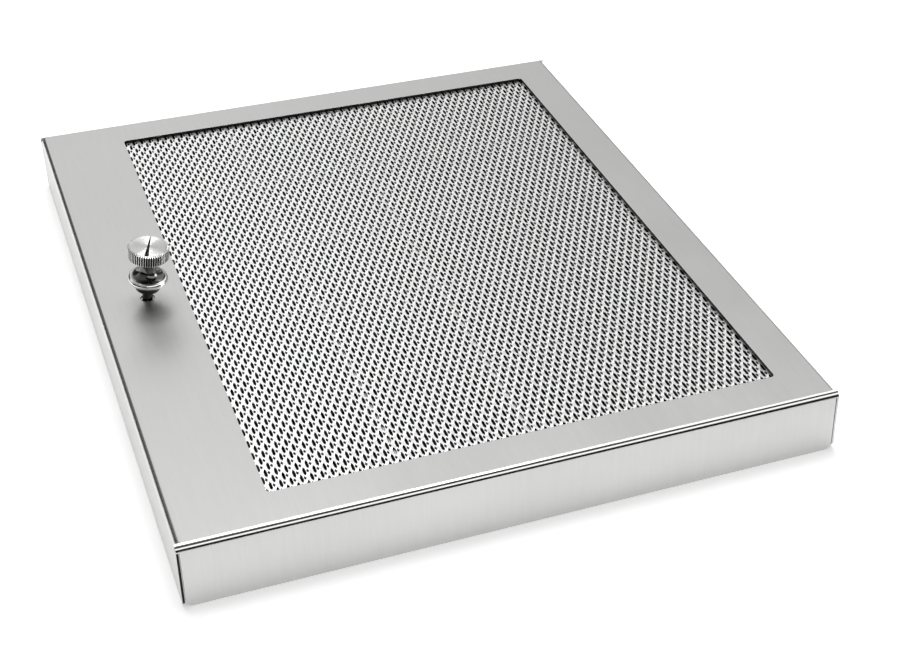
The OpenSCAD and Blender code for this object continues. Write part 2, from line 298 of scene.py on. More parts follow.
def copy_piece(piece, name):
    """A copy with its own mesh."""
    pick(piece)
    bpy.ops.object.duplicate(linked=False)
    made = bpy.context.object
    made.name = name
    made.data.name = name
    return made


def join_pieces(pieces, name):
    """Joins pieces into the first one."""
    start_clean()
    for piece in pieces:
        piece.select_set(True)
    bpy.context.view_layer.objects.active = pieces[0]
    if len(pieces) > 1:
        bpy.ops.object.join()
    made = bpy.context.object
    made.name = name
    made.data.name = name
    return made


def settle(piece):
    """Puts a piece's place, turn and size into its mesh."""
    pick(piece)
    bpy.ops.object.transform_apply(location=True, rotation=True, scale=True)


def hand_over(piece, body, slot, material, *nodes):
    """Finishes a piece: its body, its material and the nodes it stands for. The slot argument is not used."""
    settle(piece)
    piece.data.materials.clear()
    piece.data.materials.append(material)
    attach(piece, body)
    if nodes:
        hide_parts(*nodes)
    start_clean()


def mark_faces(piece, name, test):
    """Writes an attribute of the faces: 1 where a face passes the test, 0 elsewhere."""
    marks = piece.data.attributes.new(name, "FLOAT", "FACE")
    for face, mark in zip(piece.data.polygons, marks.data):
        mark.value = float(test(face))


def finish_nodes(names, material):
    """Gives CAD nodes a material."""
    for name in names:
        node = frame["nodes"][name]
        node.data.materials.clear()
        node.data.materials.append(material)


# Finishes


def node_group(name, inputs, outputs):
    """An empty shader node group with its sockets."""
    group = bpy.data.node_groups.new(name, "ShaderNodeTree")
    for title, kind, value in inputs:
        socket = group.interface.new_socket(name=title, in_out="INPUT", socket_type=kind)
        if value is not None:
            socket.default_value = value
    for title, kind in outputs:
        group.interface.new_socket(name=title, in_out="OUTPUT", socket_type=kind)
    return group


class Wiring:
    """Adds nodes to a tree and links them."""

    def __init__(self, tree):
        self.tree = tree
        self.tree.nodes.clear()

    def add(self, kind, **settings):
        node = self.tree.nodes.new("ShaderNode" + kind if not kind.startswith("Node") else kind)
        for name, value in settings.items():
            setattr(node, name, value)
        return node

    def link(self, source, target):
        self.tree.links.new(source, target)

    def feed(self, target, value):
        """Links an output, or sets a plain value."""
        if isinstance(value, bpy.types.NodeSocket):
            self.link(value, target)
        else:
            target.default_value = value

    def maths(self, operation, first, second=0.0, clamp=False):
        node = self.add("Math", operation=operation, use_clamp=clamp)
        self.feed(node.inputs[0], first)
        self.feed(node.inputs[1], second)
        return node.outputs[0]

    def vector(self, operation, first, second=(0.0, 0.0, 0.0)):
        node = self.add("VectorMath", operation=operation)
        self.feed(node.inputs[0], first)
        self.feed(node.inputs[1], second)
        return node.outputs["Value"] if operation in ("DOT_PRODUCT", "LENGTH") else node.outputs[0]

    def noise(self, place, scale, detail=2.0, roughness=0.5):
        node = self.add("TexNoise")
        self.feed(node.inputs["Vector"], place)
        node.inputs["Scale"].default_value = scale
        node.inputs["Detail"].default_value = detail
        node.inputs["Roughness"].default_value = roughness
        return node.outputs[0]

    def spread(self, value, low, high, to_low, to_high):
        node = self.add("MapRange")
        self.feed(node.inputs[0], value)
        for index, number in enumerate((low, high, to_low, to_high)):
            self.feed(node.inputs[index + 1], number)
        return node.outputs[0]

    def blend(self, share_of_second, first, second, kind="RGBA", mode="MIX"):
        node = self.add("Mix", data_type=kind, blend_type=mode)
        pair = {"RGBA": (6, 7, 2), "VECTOR": (4, 5, 1), "FLOAT": (2, 3, 0)}[kind]
        self.feed(node.inputs[0], share_of_second)
        self.feed(node.inputs[pair[0]], first)
        self.feed(node.inputs[pair[1]], second)
        return node.outputs[pair[2]]

    def place(self, scale=(1.0, 1.0, 1.0)):
        """Object coordinates, scaled."""
        coordinates = self.add("TexCoord")
        mapping = self.add("Mapping")
        mapping.inputs["Scale"].default_value = scale
        self.link(coordinates.outputs["Object"], mapping.inputs["Vector"])
        return mapping.outputs[0]

    def bump(self, height, strength, distance):
        node = self.add("Bump")
        node.inputs["Strength"].default_value = strength
        node.inputs["Distance"].default_value = distance
        self.link(height, node.inputs["Height"])
        return node.outputs[0]

    def use(self, group, **values):
        node = self.add("Group", node_tree=group)
        for name, value in values.items():
            self.feed(node.inputs[name.replace("_", " ").capitalize()], value)
        return node


def brush_marks():
    """Fine brush marks: streaks along the grain, and slow cloudy changes across the sheet."""
    group = node_group(
        "brush_marks",
        [("Place", "NodeSocketVector", None), ("Depth", "NodeSocketFloat", 1.0)],
        [("Streaks", "NodeSocketFloat"), ("Clouds", "NodeSocketFloat"), ("Height", "NodeSocketFloat")],
    )
    wires = Wiring(group)
    given = wires.add("NodeGroupInput")
    out = wires.add("NodeGroupOutput")
    fine = wires.noise(given.outputs["Place"], 1.0, 2.0, 0.6)
    broad = wires.noise(wires.vector("MULTIPLY", given.outputs["Place"], (0.2, 0.35, 0.35)), 1.0, 1.0)
    streaks = wires.blend(0.35, fine, broad, "FLOAT")
    clouds = wires.noise(wires.vector("MULTIPLY", given.outputs["Place"], (0.006, 0.4, 0.4)), 1.0, 2.0)
    wires.link(streaks, out.inputs["Streaks"])
    wires.link(clouds, out.inputs["Clouds"])
    wires.link(wires.maths("MULTIPLY", fine, given.outputs["Depth"]), out.inputs["Height"])
    return group


def turning_marks():
    """Rings left by the lathe, from the distance to the screw's axis and along it."""
    group = node_group(
        "turning_marks",
        [("Place", "NodeSocketVector", None), ("Rings", "NodeSocketFloat", 5000.0)],
        [
            ("Round", "NodeSocketVector"), ("Radius", "NodeSocketFloat"), ("Along", "NodeSocketFloat"),
            ("Height", "NodeSocketFloat"),
        ],
    )
    wires = Wiring(group)
    given = wires.add("NodeGroupInput")
    out = wires.add("NodeGroupOutput")
    from_seat = wires.vector("SUBTRACT", given.outputs["Place"], tuple(SCREW_SEAT))
    around = wires.vector("CROSS_PRODUCT", tuple(SCREW_AXIS), from_seat)
    radius = wires.vector("LENGTH", around)
    along = wires.vector("DOT_PRODUCT", tuple(SCREW_AXIS), from_seat)
    path = wires.maths("MULTIPLY", wires.maths("ADD", radius, along), given.outputs["Rings"])
    rings = wires.add("TexNoise", noise_dimensions="1D")
    rings.inputs["Scale"].default_value = 1.0
    rings.inputs["Detail"].default_value = 2.0
    wires.link(path, rings.inputs["W"])
    turned = wires.add("VectorTransform", vector_type="VECTOR", convert_from="OBJECT", convert_to="WORLD")
    wires.link(around, turned.inputs[0])
    wires.link(turned.outputs[0], out.inputs["Round"])
    wires.link(radius, out.inputs["Radius"])
    wires.link(along, out.inputs["Along"])
    wires.link(rings.outputs[0], out.inputs["Height"])
    return group


def dust_specks():
    """Small dark specks of dust and handling, as a mask."""
    group = node_group(
        "dust_specks",
        [("Place", "NodeSocketVector", None), ("Amount", "NodeSocketFloat", 0.5)],
        [("Mask", "NodeSocketFloat")],
    )
    wires = Wiring(group)
    given = wires.add("NodeGroupInput")
    out = wires.add("NodeGroupOutput")
    specks = wires.noise(given.outputs["Place"], 900.0, 3.0, 0.6)
    clouds = wires.noise(given.outputs["Place"], 35.0, 2.0)
    both = wires.maths("MULTIPLY", specks, clouds)
    start = wires.maths("SUBTRACT", 0.62, wires.maths("MULTIPLY", given.outputs["Amount"], 0.3))
    node = wires.maths("SUBTRACT", both, start)
    wires.link(wires.maths("MULTIPLY", node, 8.0, True), out.inputs["Mask"])
    return group


GROUPS = {}


def shared(name):
    """A shared node group, built once."""
    if name not in GROUPS:
        builders = {"brush": brush_marks, "turning": turning_marks, "dust": dust_specks}
        GROUPS[name] = builders[name]()
    return GROUPS[name]


def new_finish(name, metallic, roughness):
    """A material with its shader and output."""
    material = bpy.data.materials.new(name)
    material.use_nodes = True
    wires = Wiring(material.node_tree)
    shader = wires.add("BsdfPrincipled")
    shader.inputs["Metallic"].default_value = metallic
    shader.inputs["Roughness"].default_value = roughness
    output = wires.add("OutputMaterial")
    wires.link(shader.outputs[0], output.inputs[0])
    return material, wires, shader


def tint(steel, factor):
    """A colour made lighter or darker."""
    return tuple(min(1.0, part * factor) for part in steel) + (1.0,)


def brushed_sheet(steel, depth):
    """Brushed steel sheet: its grain runs from front to back on the face, and down the front side."""
    material, wires, shader = new_finish("brushed_sheet", 0.5, 0.26)
    coordinates = wires.add("TexCoord")
    face = wires.vector("MULTIPLY", coordinates.outputs["Object"], (14000.0, 90.0, 90.0))
    side = wires.vector("MULTIPLY", coordinates.outputs["Object"], (90.0, 90.0, 14000.0))
    normal = wires.add("SeparateXYZ")
    wires.link(coordinates.outputs["Normal"], normal.inputs[0])
    slant = [wires.maths("ABSOLUTE", normal.outputs[axis]) for axis in "XYZ"]
    on_side = wires.maths("GREATER_THAN", slant[0], 0.75)
    steepest = wires.maths("MAXIMUM", wires.maths("MAXIMUM", slant[0], slant[1]), slant[2])
    fold = wires.spread(steepest, 0.965, 0.995, 1.0, 0.0)
    marks = wires.use(shared("brush"), place=wires.blend(on_side, face, side, "VECTOR"), depth=depth)
    streaks = marks.outputs["Streaks"]
    bands = wires.noise(wires.blend(on_side, wires.place((700.0, 45.0, 45.0)), wires.place((200.0, 200.0, 400.0)), "VECTOR"), 1.0, 4.0)
    tone = wires.maths("ADD", wires.maths("MULTIPLY", streaks, 0.3), wires.maths("MULTIPLY", bands, 0.7))
    brushed = wires.blend(wires.spread(tone, 0.3, 0.7, 0.0, 1.0), tint(steel, 0.98), tint(steel, 1.02))
    # faces marked as cut edges are painted nearly black: painted shade in the seams, round the window and underneath
    cut = wires.add("Attribute", attribute_name="cut").outputs["Fac"]
    wires.link(wires.blend(cut, brushed, (0.022, 0.022, 0.022, 1.0)), shader.inputs["Base Color"])
    smudges = wires.noise(wires.place((14.0, 9.0, 14.0)), 1.0, 3.0)
    rough = wires.maths("ADD", wires.spread(streaks, 0.3, 0.7, 0.4, 0.46), wires.spread(smudges, 0.3, 0.7, -0.03, 0.03))
    rough = wires.blend(fold, rough, wires.spread(slant[0], 0.05, 0.3, 0.14, 0.24), "FLOAT")
    wires.link(wires.blend(fold, 0.95, 1.0, "FLOAT"), shader.inputs["Metallic"])
    wires.link(wires.maths("MAXIMUM", rough, wires.maths("MULTIPLY", cut, 0.7)), shader.inputs["Roughness"])
    wires.link(wires.bump(marks.outputs["Height"], 0.05, 0.00001), shader.inputs["Normal"])
    shader.inputs["Anisotropic"].default_value = 0.3
    across = wires.add("CombineXYZ")
    across.inputs[0].default_value = 1.0
    across.inputs[2].default_value = 0.02
    wires.link(across.outputs[0], shader.inputs["Tangent"])
    return material


def mesh_steel(steel):
    """Bright stamped strands, with faint dust and handling marks; the steep walls of the openings and hollows are
    painted nearly black as shade.
    """
    material, wires, shader = new_finish("mesh_steel", 1.0, 0.38)
    place = wires.place()
    dust = wires.use(shared("dust"), place=place, amount=0.35).outputs["Mask"]
    tone = wires.noise(place, 260.0, 3.0)
    bright = wires.blend(wires.spread(tone, 0.3, 0.7, 0.0, 1.0), tint(steel, 0.95), tint(steel, 1.04))
    dusty = wires.blend(wires.maths("MULTIPLY", dust, 0.35), bright, (0.25, 0.25, 0.24, 1.0))
    facing = wires.add("SeparateXYZ")
    wires.link(wires.add("TexCoord").outputs["Normal"], facing.inputs[0])
    # steep faces, the openings' walls and the hollows' sides, painted nearly black: painted shade
    side_shade = wires.spread(wires.maths("ABSOLUTE", facing.outputs["Z"]), 0.7, 0.9, 1.0, 0.0)
    wires.link(wires.blend(side_shade, dusty, (0.035, 0.035, 0.035, 1.0)), shader.inputs["Base Color"])
    wires.link(wires.spread(wires.noise(place, 700.0, 2.0), 0.3, 0.7, 0.3, 0.46), shader.inputs["Roughness"])
    wires.link(wires.bump(wires.noise(place, 1500.0, 2.0), 0.3, 0.00008), shader.inputs["Normal"])
    return material


def rolled_steel(name, steel, dusting, edges=0.0):
    """Plain rolled or zinc-coated sheet of the hidden pieces, with a little carbon dust; as far as edges asks, its
    upright faces are painted nearly black as shade.
    """
    material, wires, shader = new_finish(name, 1.0, 0.4)
    place = wires.place()
    spangle = wires.add("TexVoronoi")
    spangle.inputs["Scale"].default_value = 260.0
    wires.link(place, spangle.inputs["Vector"])
    tone = wires.add("SeparateXYZ")
    wires.link(spangle.outputs["Color"], tone.inputs[0])
    base = wires.blend(tone.outputs[0], tint(steel, 0.92), tint(steel, 1.05))
    dust = wires.use(shared("dust"), place=place, amount=dusting).outputs["Mask"]
    dusty = wires.blend(dust, base, (0.04, 0.04, 0.04, 1.0))
    facing = wires.add("SeparateXYZ")
    wires.link(wires.add("TexCoord").outputs["Normal"], facing.inputs[0])
    # upright faces painted nearly black, as much as edges asks: painted shade
    side_shade = wires.spread(wires.maths("ABSOLUTE", facing.outputs["Z"]), 0.3, 0.6, edges, 0.0)
    wires.link(wires.blend(side_shade, dusty, (0.015, 0.015, 0.015, 1.0)), shader.inputs["Base Color"])
    wires.link(wires.spread(tone.outputs[1], 0.0, 1.0, 0.34, 0.48), shader.inputs["Roughness"])
    wires.link(wires.bump(wires.noise(place, 1800.0, 3.0), 0.2, 0.00004), shader.inputs["Normal"])
    return material


def carbon_black(black):
    """Matt black carbon, its extruded pellets finely pitted."""
    material, wires, shader = new_finish("carbon", 0.0, 0.85)
    place = wires.place()
    grain = wires.noise(place, 1400.0, 4.0, 0.7)
    wires.link(wires.blend(grain, tint(black, 0.6), tint(black, 1.9)), shader.inputs["Base Color"])
    wires.link(wires.spread(grain, 0.3, 0.7, 0.7, 0.95), shader.inputs["Roughness"])
    wires.link(wires.bump(grain, 0.6, 0.0002), shader.inputs["Normal"])
    shader.inputs["Specular IOR Level"].default_value = 0.25
    return material


def turned_steel(name, steel, rough, rings, streak, anisotropy, grime_and_painted_shade=lambda wires, marks: 0.0):
    """Steel off the lathe: rings round the axis, and a highlight that runs across them. A mask darkens its colour
    nearly to black, as painted shade.
    """
    material, wires, shader = new_finish(name, 1.0, rough)
    marks = wires.use(shared("turning"), place=wires.place(), rings=rings)
    lines = marks.outputs["Height"]
    plain = wires.blend(wires.spread(lines, 0.3, 0.7, 0.0, 1.0), tint(steel, 1 - streak), tint(steel, 1 + streak / 2))
    # where the mask is set the colour goes nearly black: painted shade, with some real grime in the knurl
    wires.link(wires.blend(grime_and_painted_shade(wires, marks), plain, (0.02, 0.02, 0.02, 1.0)), shader.inputs["Base Color"])
    wires.link(wires.spread(lines, 0.3, 0.7, rough * 0.8, rough * 1.25), shader.inputs["Roughness"])
    wires.link(wires.bump(lines, 0.15, 0.00002), shader.inputs["Normal"])
    shader.inputs["Anisotropic"].default_value = anisotropy
    shader.inputs["Anisotropic Rotation"].default_value = 0.25
    wires.link(marks.outputs["Round"], shader.inputs["Tangent"])
    return material


# Pieces


class CASSETTE_OT_tray(bpy.types.Operator):
    """Softens the tray's cut edges and folds, and gives it its brushed finish"""

    bl_idname = "cassette.tray"
    bl_label = "Tray"

    def execute(self, context):
        look = context.scene.cassette_tray
        tray = copy_piece(frame["nodes"]["outer_frame"], "tray")
        tray.parent = None
        for key in list(tray.keys()):
            del tray[key]
        edit("VERT")
        weld()
        bpy.ops.mesh.dissolve_limited(angle_limit=math.radians(0.5))
        bpy.ops.object.mode_set(mode="OBJECT")
        add_modifier(
            tray, "BEVEL", width=look.edge_round, segments=2, limit_method="ANGLE",
            angle_limit=math.radians(50), harden_normals=False,
        )
        bpy.ops.object.modifier_apply(modifier="Bevel")
        bpy.ops.object.shade_smooth_by_angle(angle=math.radians(35))
        apply_modifier(tray, "WEIGHTED_NORMAL", keep_sharp=True, weight=90)
        # marks the cut edges, which the finish paints nearly black as shade
        mark_faces(tray, "cut", is_cut_edge)
        hand_over(tray, "cassette", "brushed_sheet", brushed_sheet(look.steel, look.grain_depth), "outer_frame")
        return {"FINISHED"}


def is_cut_edge(face):
    """Tells the sheet's cut edges, painted nearly black as shade, from its faces: round the window, at the seams and
    along the bottom.
    Where the right side ends, the edge is left as bright as the sheet."""
    place = face.center
    if face.normal.z < -0.7 and place.z < 1 * MM:
        return True
    if abs(face.normal.z) > 0.7:
        return False
    near = 0.3 * MM
    if abs(place.x - WINDOW_X) < WINDOW_W / 2 + near and abs(place.y) < WINDOW_D / 2 + near:
        return True
    sheet = 1 * MM
    on_side = place.x - TRAY_LOW.x < sheet * 0.98
    on_end = TRAY_HIGH.y - abs(place.y) < sheet * 0.98
    return place.z < TRAY_HIGH.z - 3.2 * MM and (
        on_side and abs(face.normal.y) > 0.7 or on_end and abs(face.normal.x) > 0.7
    )


def mesh_sheet(name, low, high, crest_up, look):
    """An expanded mesh sheet: bonds and slanting strands, stamped with broader feet below their crests."""
    crest = high.z if crest_up else low.z
    down = -1 if crest_up else 1
    half_w = look.opening_w / 2
    half_l = look.opening_l / 2
    bond_w = look.pitch_x / 2 - half_w
    bond_tip = look.pitch_y / 2 - half_l
    columns = math.ceil((high.x - low.x) / look.pitch_x) + 2
    rows = math.ceil((high.y - low.y) / look.pitch_y) + 2
    first_x = WINDOW_X - (columns // 2) * look.pitch_x
    first_y = -(rows // 2) * look.pitch_y
    bond_x = first_x + look.pitch_x / 2
    centre = (bond_x, first_y, crest)

    # one bond, a hexagon
    start_clean()
    bpy.ops.mesh.primitive_circle_add(vertices=6, radius=1, fill_type="NGON", location=(bond_x, first_y, crest))
    sheet = bpy.context.object
    settle(sheet)
    sheet.name = name
    sheet.data.name = name
    edit("VERT")
    bpy.ops.mesh.select_all(action="SELECT")
    size(bond_w / math.sin(math.radians(60)), 2 * look.side_half, 1, centre)
    choose("verts", lambda vert: abs(vert.co.x - bond_x) < TOUCH)
    size(1, bond_tip / (2 * look.side_half), 1, centre)

    # the outline of its hollow, four corners beside the opening
    bpy.ops.mesh.select_all(action="SELECT")
    bpy.ops.mesh.inset(thickness=0.3 * MM)
    for side in (-1, 1):
        choose("verts", lambda vert: TOUCH < (vert.co.x - bond_x) * side < bond_w - TOUCH)
        bpy.ops.mesh.merge(type="CENTER")
    bpy.ops.mesh.select_all(action="DESELECT")
    found = choose("faces", lambda face: len(face.verts) == 4 and (middle(face) - Vector(centre)).length < TOUCH)
    if found != 1:
        raise RuntimeError(f"{name}: {found} faces found for the hollow")
    wide, deep, _ = reach(centre)
    size(look.hollow_w / 2 / wide, look.hollow_l / 2 / deep, 1, centre)
    slide(x=-look.hollow_x)

    # its two strands, off its upper slanting edges
    for side in (-1, 1):
        found = choose("edges", lambda edge: (middle(edge).x - bond_x) * side > TOUCH and middle(edge).y > first_y
                       + look.side_half * 0.5 + TOUCH and len(edge.link_faces) == 1
                       and abs(middle(edge).x - bond_x) < bond_w * 0.9)
        if found != 1:
            raise RuntimeError(f"{name}: {found} edges found for a strand")
        bpy.ops.mesh.extrude_edges_move(
            TRANSFORM_OT_translate={"value": (side * half_w, half_l - look.side_half, 0)}
        )

    # the second bond of the pattern, half a pitch on, and then the whole sheet
    bpy.ops.mesh.select_all(action="SELECT")
    bpy.ops.mesh.duplicate_move(TRANSFORM_OT_translate={"value": (look.pitch_x / 2, look.pitch_y / 2, 0)})
    bpy.ops.object.mode_set(mode="OBJECT")
    for number, offset in ((columns, (look.pitch_x, 0, 0)), (rows, (0, look.pitch_y, 0))):
        apply_modifier(
            sheet, "ARRAY", count=number, use_relative_offset=False, use_constant_offset=True,
            constant_offset_displace=offset,
        )
    edit("VERT")
    weld()

    # trimmed to its size
    for place, way in ((low, -1), (high, 1)):
        for axis in (Vector((1, 0, 0)), Vector((0, 1, 0))):
            bpy.ops.mesh.select_all(action="SELECT")
            bpy.ops.mesh.bisect(plane_co=place, plane_no=axis * way, clear_outer=True, use_fill=False)

    # thickened, plain on its far side, where the openings widen
    bpy.ops.mesh.select_all(action="SELECT")
    extrude(z=down * (high.z - low.z))
    foot = crest + down * (high.z - low.z)

    def inside(vert):
        return all(abs(face.normal.z) > 0.9 for face in vert.link_faces)

    choose("verts", lambda vert: abs(vert.co.z - foot) < TOUCH and inside(vert))
    bpy.ops.mesh.dissolve_verts()

    def borders(across, deep, level):
        """A test for the corners at one place of every opening, on one side of the sheet."""
        def test(vert):
            if abs(vert.co.z - level) > TOUCH:
                return False
            x = (vert.co.x - first_x - across) / look.pitch_x
            y = (vert.co.y - first_y - deep) / look.pitch_y
            return any(
                abs(x - shift - round(x - shift)) * look.pitch_x < TOUCH
                and abs(y - shift - round(y - shift)) * look.pitch_y < TOUCH
                for shift in (0.0, 0.5)
            )
        return test

    for across in (-half_w, half_w):
        for deep in (-look.side_half, look.side_half):
            choose("verts", borders(across, deep, foot))
            slide(x=math.copysign(look.undercut, across))

    # the hollows
    choose("faces", lambda face: abs(middle(face).z - crest) < TOUCH and all(inside(vert) for vert in face.verts))
    bpy.ops.mesh.poke(offset=down * look.hollow_deep)
    for deep in (-look.side_half, look.side_half):
        choose("verts", borders(-half_w, deep, crest))
        slide(z=down * look.slope)
    bpy.ops.mesh.select_all(action="SELECT")
    bpy.ops.mesh.normals_make_consistent(inside=False)
    bpy.ops.object.mode_set(mode="OBJECT")
    bpy.ops.object.shade_flat()
    return sheet


class CASSETTE_OT_meshes(bpy.types.Operator):
    """Models the two expanded mesh sheets"""

    bl_idname = "cassette.meshes"
    bl_label = "Mesh sheets"

    def execute(self, context):
        look = context.scene.cassette_mesh
        steel = mesh_steel(look.steel)
        front = mesh_sheet("expanded_front", FRONT_LOW, FRONT_HIGH, True, look)
        hand_over(front, "cassette", "mesh_steel", steel, "front_mesh")
        rear = mesh_sheet("expanded_rear", REAR_LOW, REAR_HIGH, False, look)
        hand_over(rear, "cassette", "mesh_steel", steel, "rear_mesh")
        return {"FINISHED"}


class CASSETTE_OT_carbon(bpy.types.Operator):
    """Fills the cells with carbon pellets, one piece for each row of cells"""

    bl_idname = "cassette.carbon"
    bl_label = "Carbon"

    def execute(self, context):
        look = context.scene.cassette_carbon
        black = carbon_black(look.black)
        random.seed(look.seed)
        columns = len(LONG_STRIPS) + 1
        rows = len(CROSS_STRIPS) + 1
        cell_w = WINDOW_W / columns
        cell_d = WINDOW_D / rows
        play = 1 * MM
        pile = self.pile(look, cell_w - 2 * play, cell_d - 2 * play)
        for row in range(rows):
            heaps = []
            for column in range(columns):
                heap = copy_piece(pile, "heap")
                heap.location.x = WINDOW_X + (column + 0.5) * cell_w - WINDOW_W / 2
                heap.location.y = (row + 0.5) * cell_d - WINDOW_D / 2
                heap.rotation_euler.z = math.pi * ((row + column) % 2)
                settle(heap)
                heaps.append(heap)
            made = join_pieces(heaps, f"carbon_row_{row + 1}")
            nodes = ["carbon_fill"] if row == 0 else []
            hand_over(made, "cassette", "carbon", black, *nodes)
        bpy.data.objects.remove(pile)
        return {"FINISHED"}

    def pile(self, look, width, depth):
        """One cell's carbon: a bed with pellets lying on its top and its underside."""
        top = CARBON_HIGH.z
        low = CARBON_LOW.z
        sunk = look.pellet_d * 0.8
        start_clean()
        bpy.ops.mesh.primitive_cube_add(size=1, location=(0, 0, (top + low) / 2))
        bed = bpy.context.object
        bed.scale = (width, depth, top - low - 2 * sunk)
        settle(bed)
        edit("EDGE")
        bpy.ops.mesh.select_all(action="SELECT")
        bpy.ops.mesh.bevel(offset=1 * MM, segments=2)
        across = int(width / (look.pellet_l * 0.8))
        deep = int(depth / (look.pellet_d * 1.15))
        for face in (0, 1):
            lying = top - look.pellet_d * 0.62 if face else low + look.pellet_d * 0.62
            for i in range(across):
                for j in range(deep):
                    x = ((i + 0.5) / across - 0.5) * (width - look.pellet_l) + random.uniform(-1, 1) * 0.8 * MM
                    y = ((j + 0.5) / deep - 0.5) * (depth - look.pellet_l) + random.uniform(-1, 1) * 0.8 * MM
                    z = lying + random.uniform(-0.12, 0.08) * look.pellet_d
                    tilt = math.pi / 2 + random.uniform(-0.2, 0.2)
                    bpy.ops.mesh.primitive_cylinder_add(
                        vertices=8, radius=look.pellet_d / 2,
                        depth=look.pellet_l * random.uniform(0.75, 1.0), location=(x, y, z),
                        rotation=(tilt, 0, random.uniform(0, math.pi)),
                    )
        bpy.ops.object.mode_set(mode="OBJECT")
        return bed


def turned_profile(look):
    """Radius and height of each ring of the screw below its head, from its tip up."""
    shank = look.shank_d / 2
    collar = look.collar_d / 2
    tip = 3.6 * MM / 2
    shank_l = 37.47 * MM
    groove_low = -12.3 * MM
    groove_h = 0.8 * MM
    collar_edge = 1.4 * MM
    flange_edge = 1.9 * MM
    flange_mid = 6.6 * MM
    flange_r = look.flange_d / 2 - flange_edge
    neck_low = flange_mid + flange_edge
    neck_high = look.head_top - look.head_h
    waist = 4.2 * MM
    neck_top = 6 * MM
    thread_low = 1 * MM - shank_l
    thread_deep = 0.4 * MM
    rings = [(tip, -shank_l), (shank, thread_low)]
    for turn in range(int((groove_low - 1 * MM - thread_low) / look.pitch)):
        start = thread_low + turn * look.pitch
        rings.append((shank, start + 0.1 * look.pitch))
        rings.append((shank - thread_deep, start + 0.5 * look.pitch))
        rings.append((shank, start + 0.9 * look.pitch))
    rings.append((shank, groove_low))
    rings += [(shank - 0.4 * MM, groove_low), (shank - 0.4 * MM, groove_low + groove_h)]
    rings += [(shank, groove_low + groove_h), (shank, 0)]
    for step in range(9):
        turn = math.radians(-90 + 90 * step / 8)
        rings.append((collar - collar_edge + collar_edge * math.cos(turn), collar_edge * (1 + math.sin(turn))))
    rings += [(collar, flange_mid - flange_edge - 0.7 * MM), (collar + 0.7 * MM, flange_mid - flange_edge)]
    for step in range(15):
        turn = math.radians(-90 + 180 * step / 14)
        rings.append((flange_r + flange_edge * math.cos(turn), flange_mid + flange_edge * math.sin(turn)))
    steps = 20
    for step in range(1, steps + 1):
        part = step / steps
        if part < 0.5:
            radius = waist + (flange_r - waist) * (1 - part / 0.5) ** 3
        else:
            radius = waist + (neck_top - waist) * ((part - 0.5) / 0.5) ** 2
        rings.append((radius, neck_low + part * (neck_high - neck_low)))
    return rings


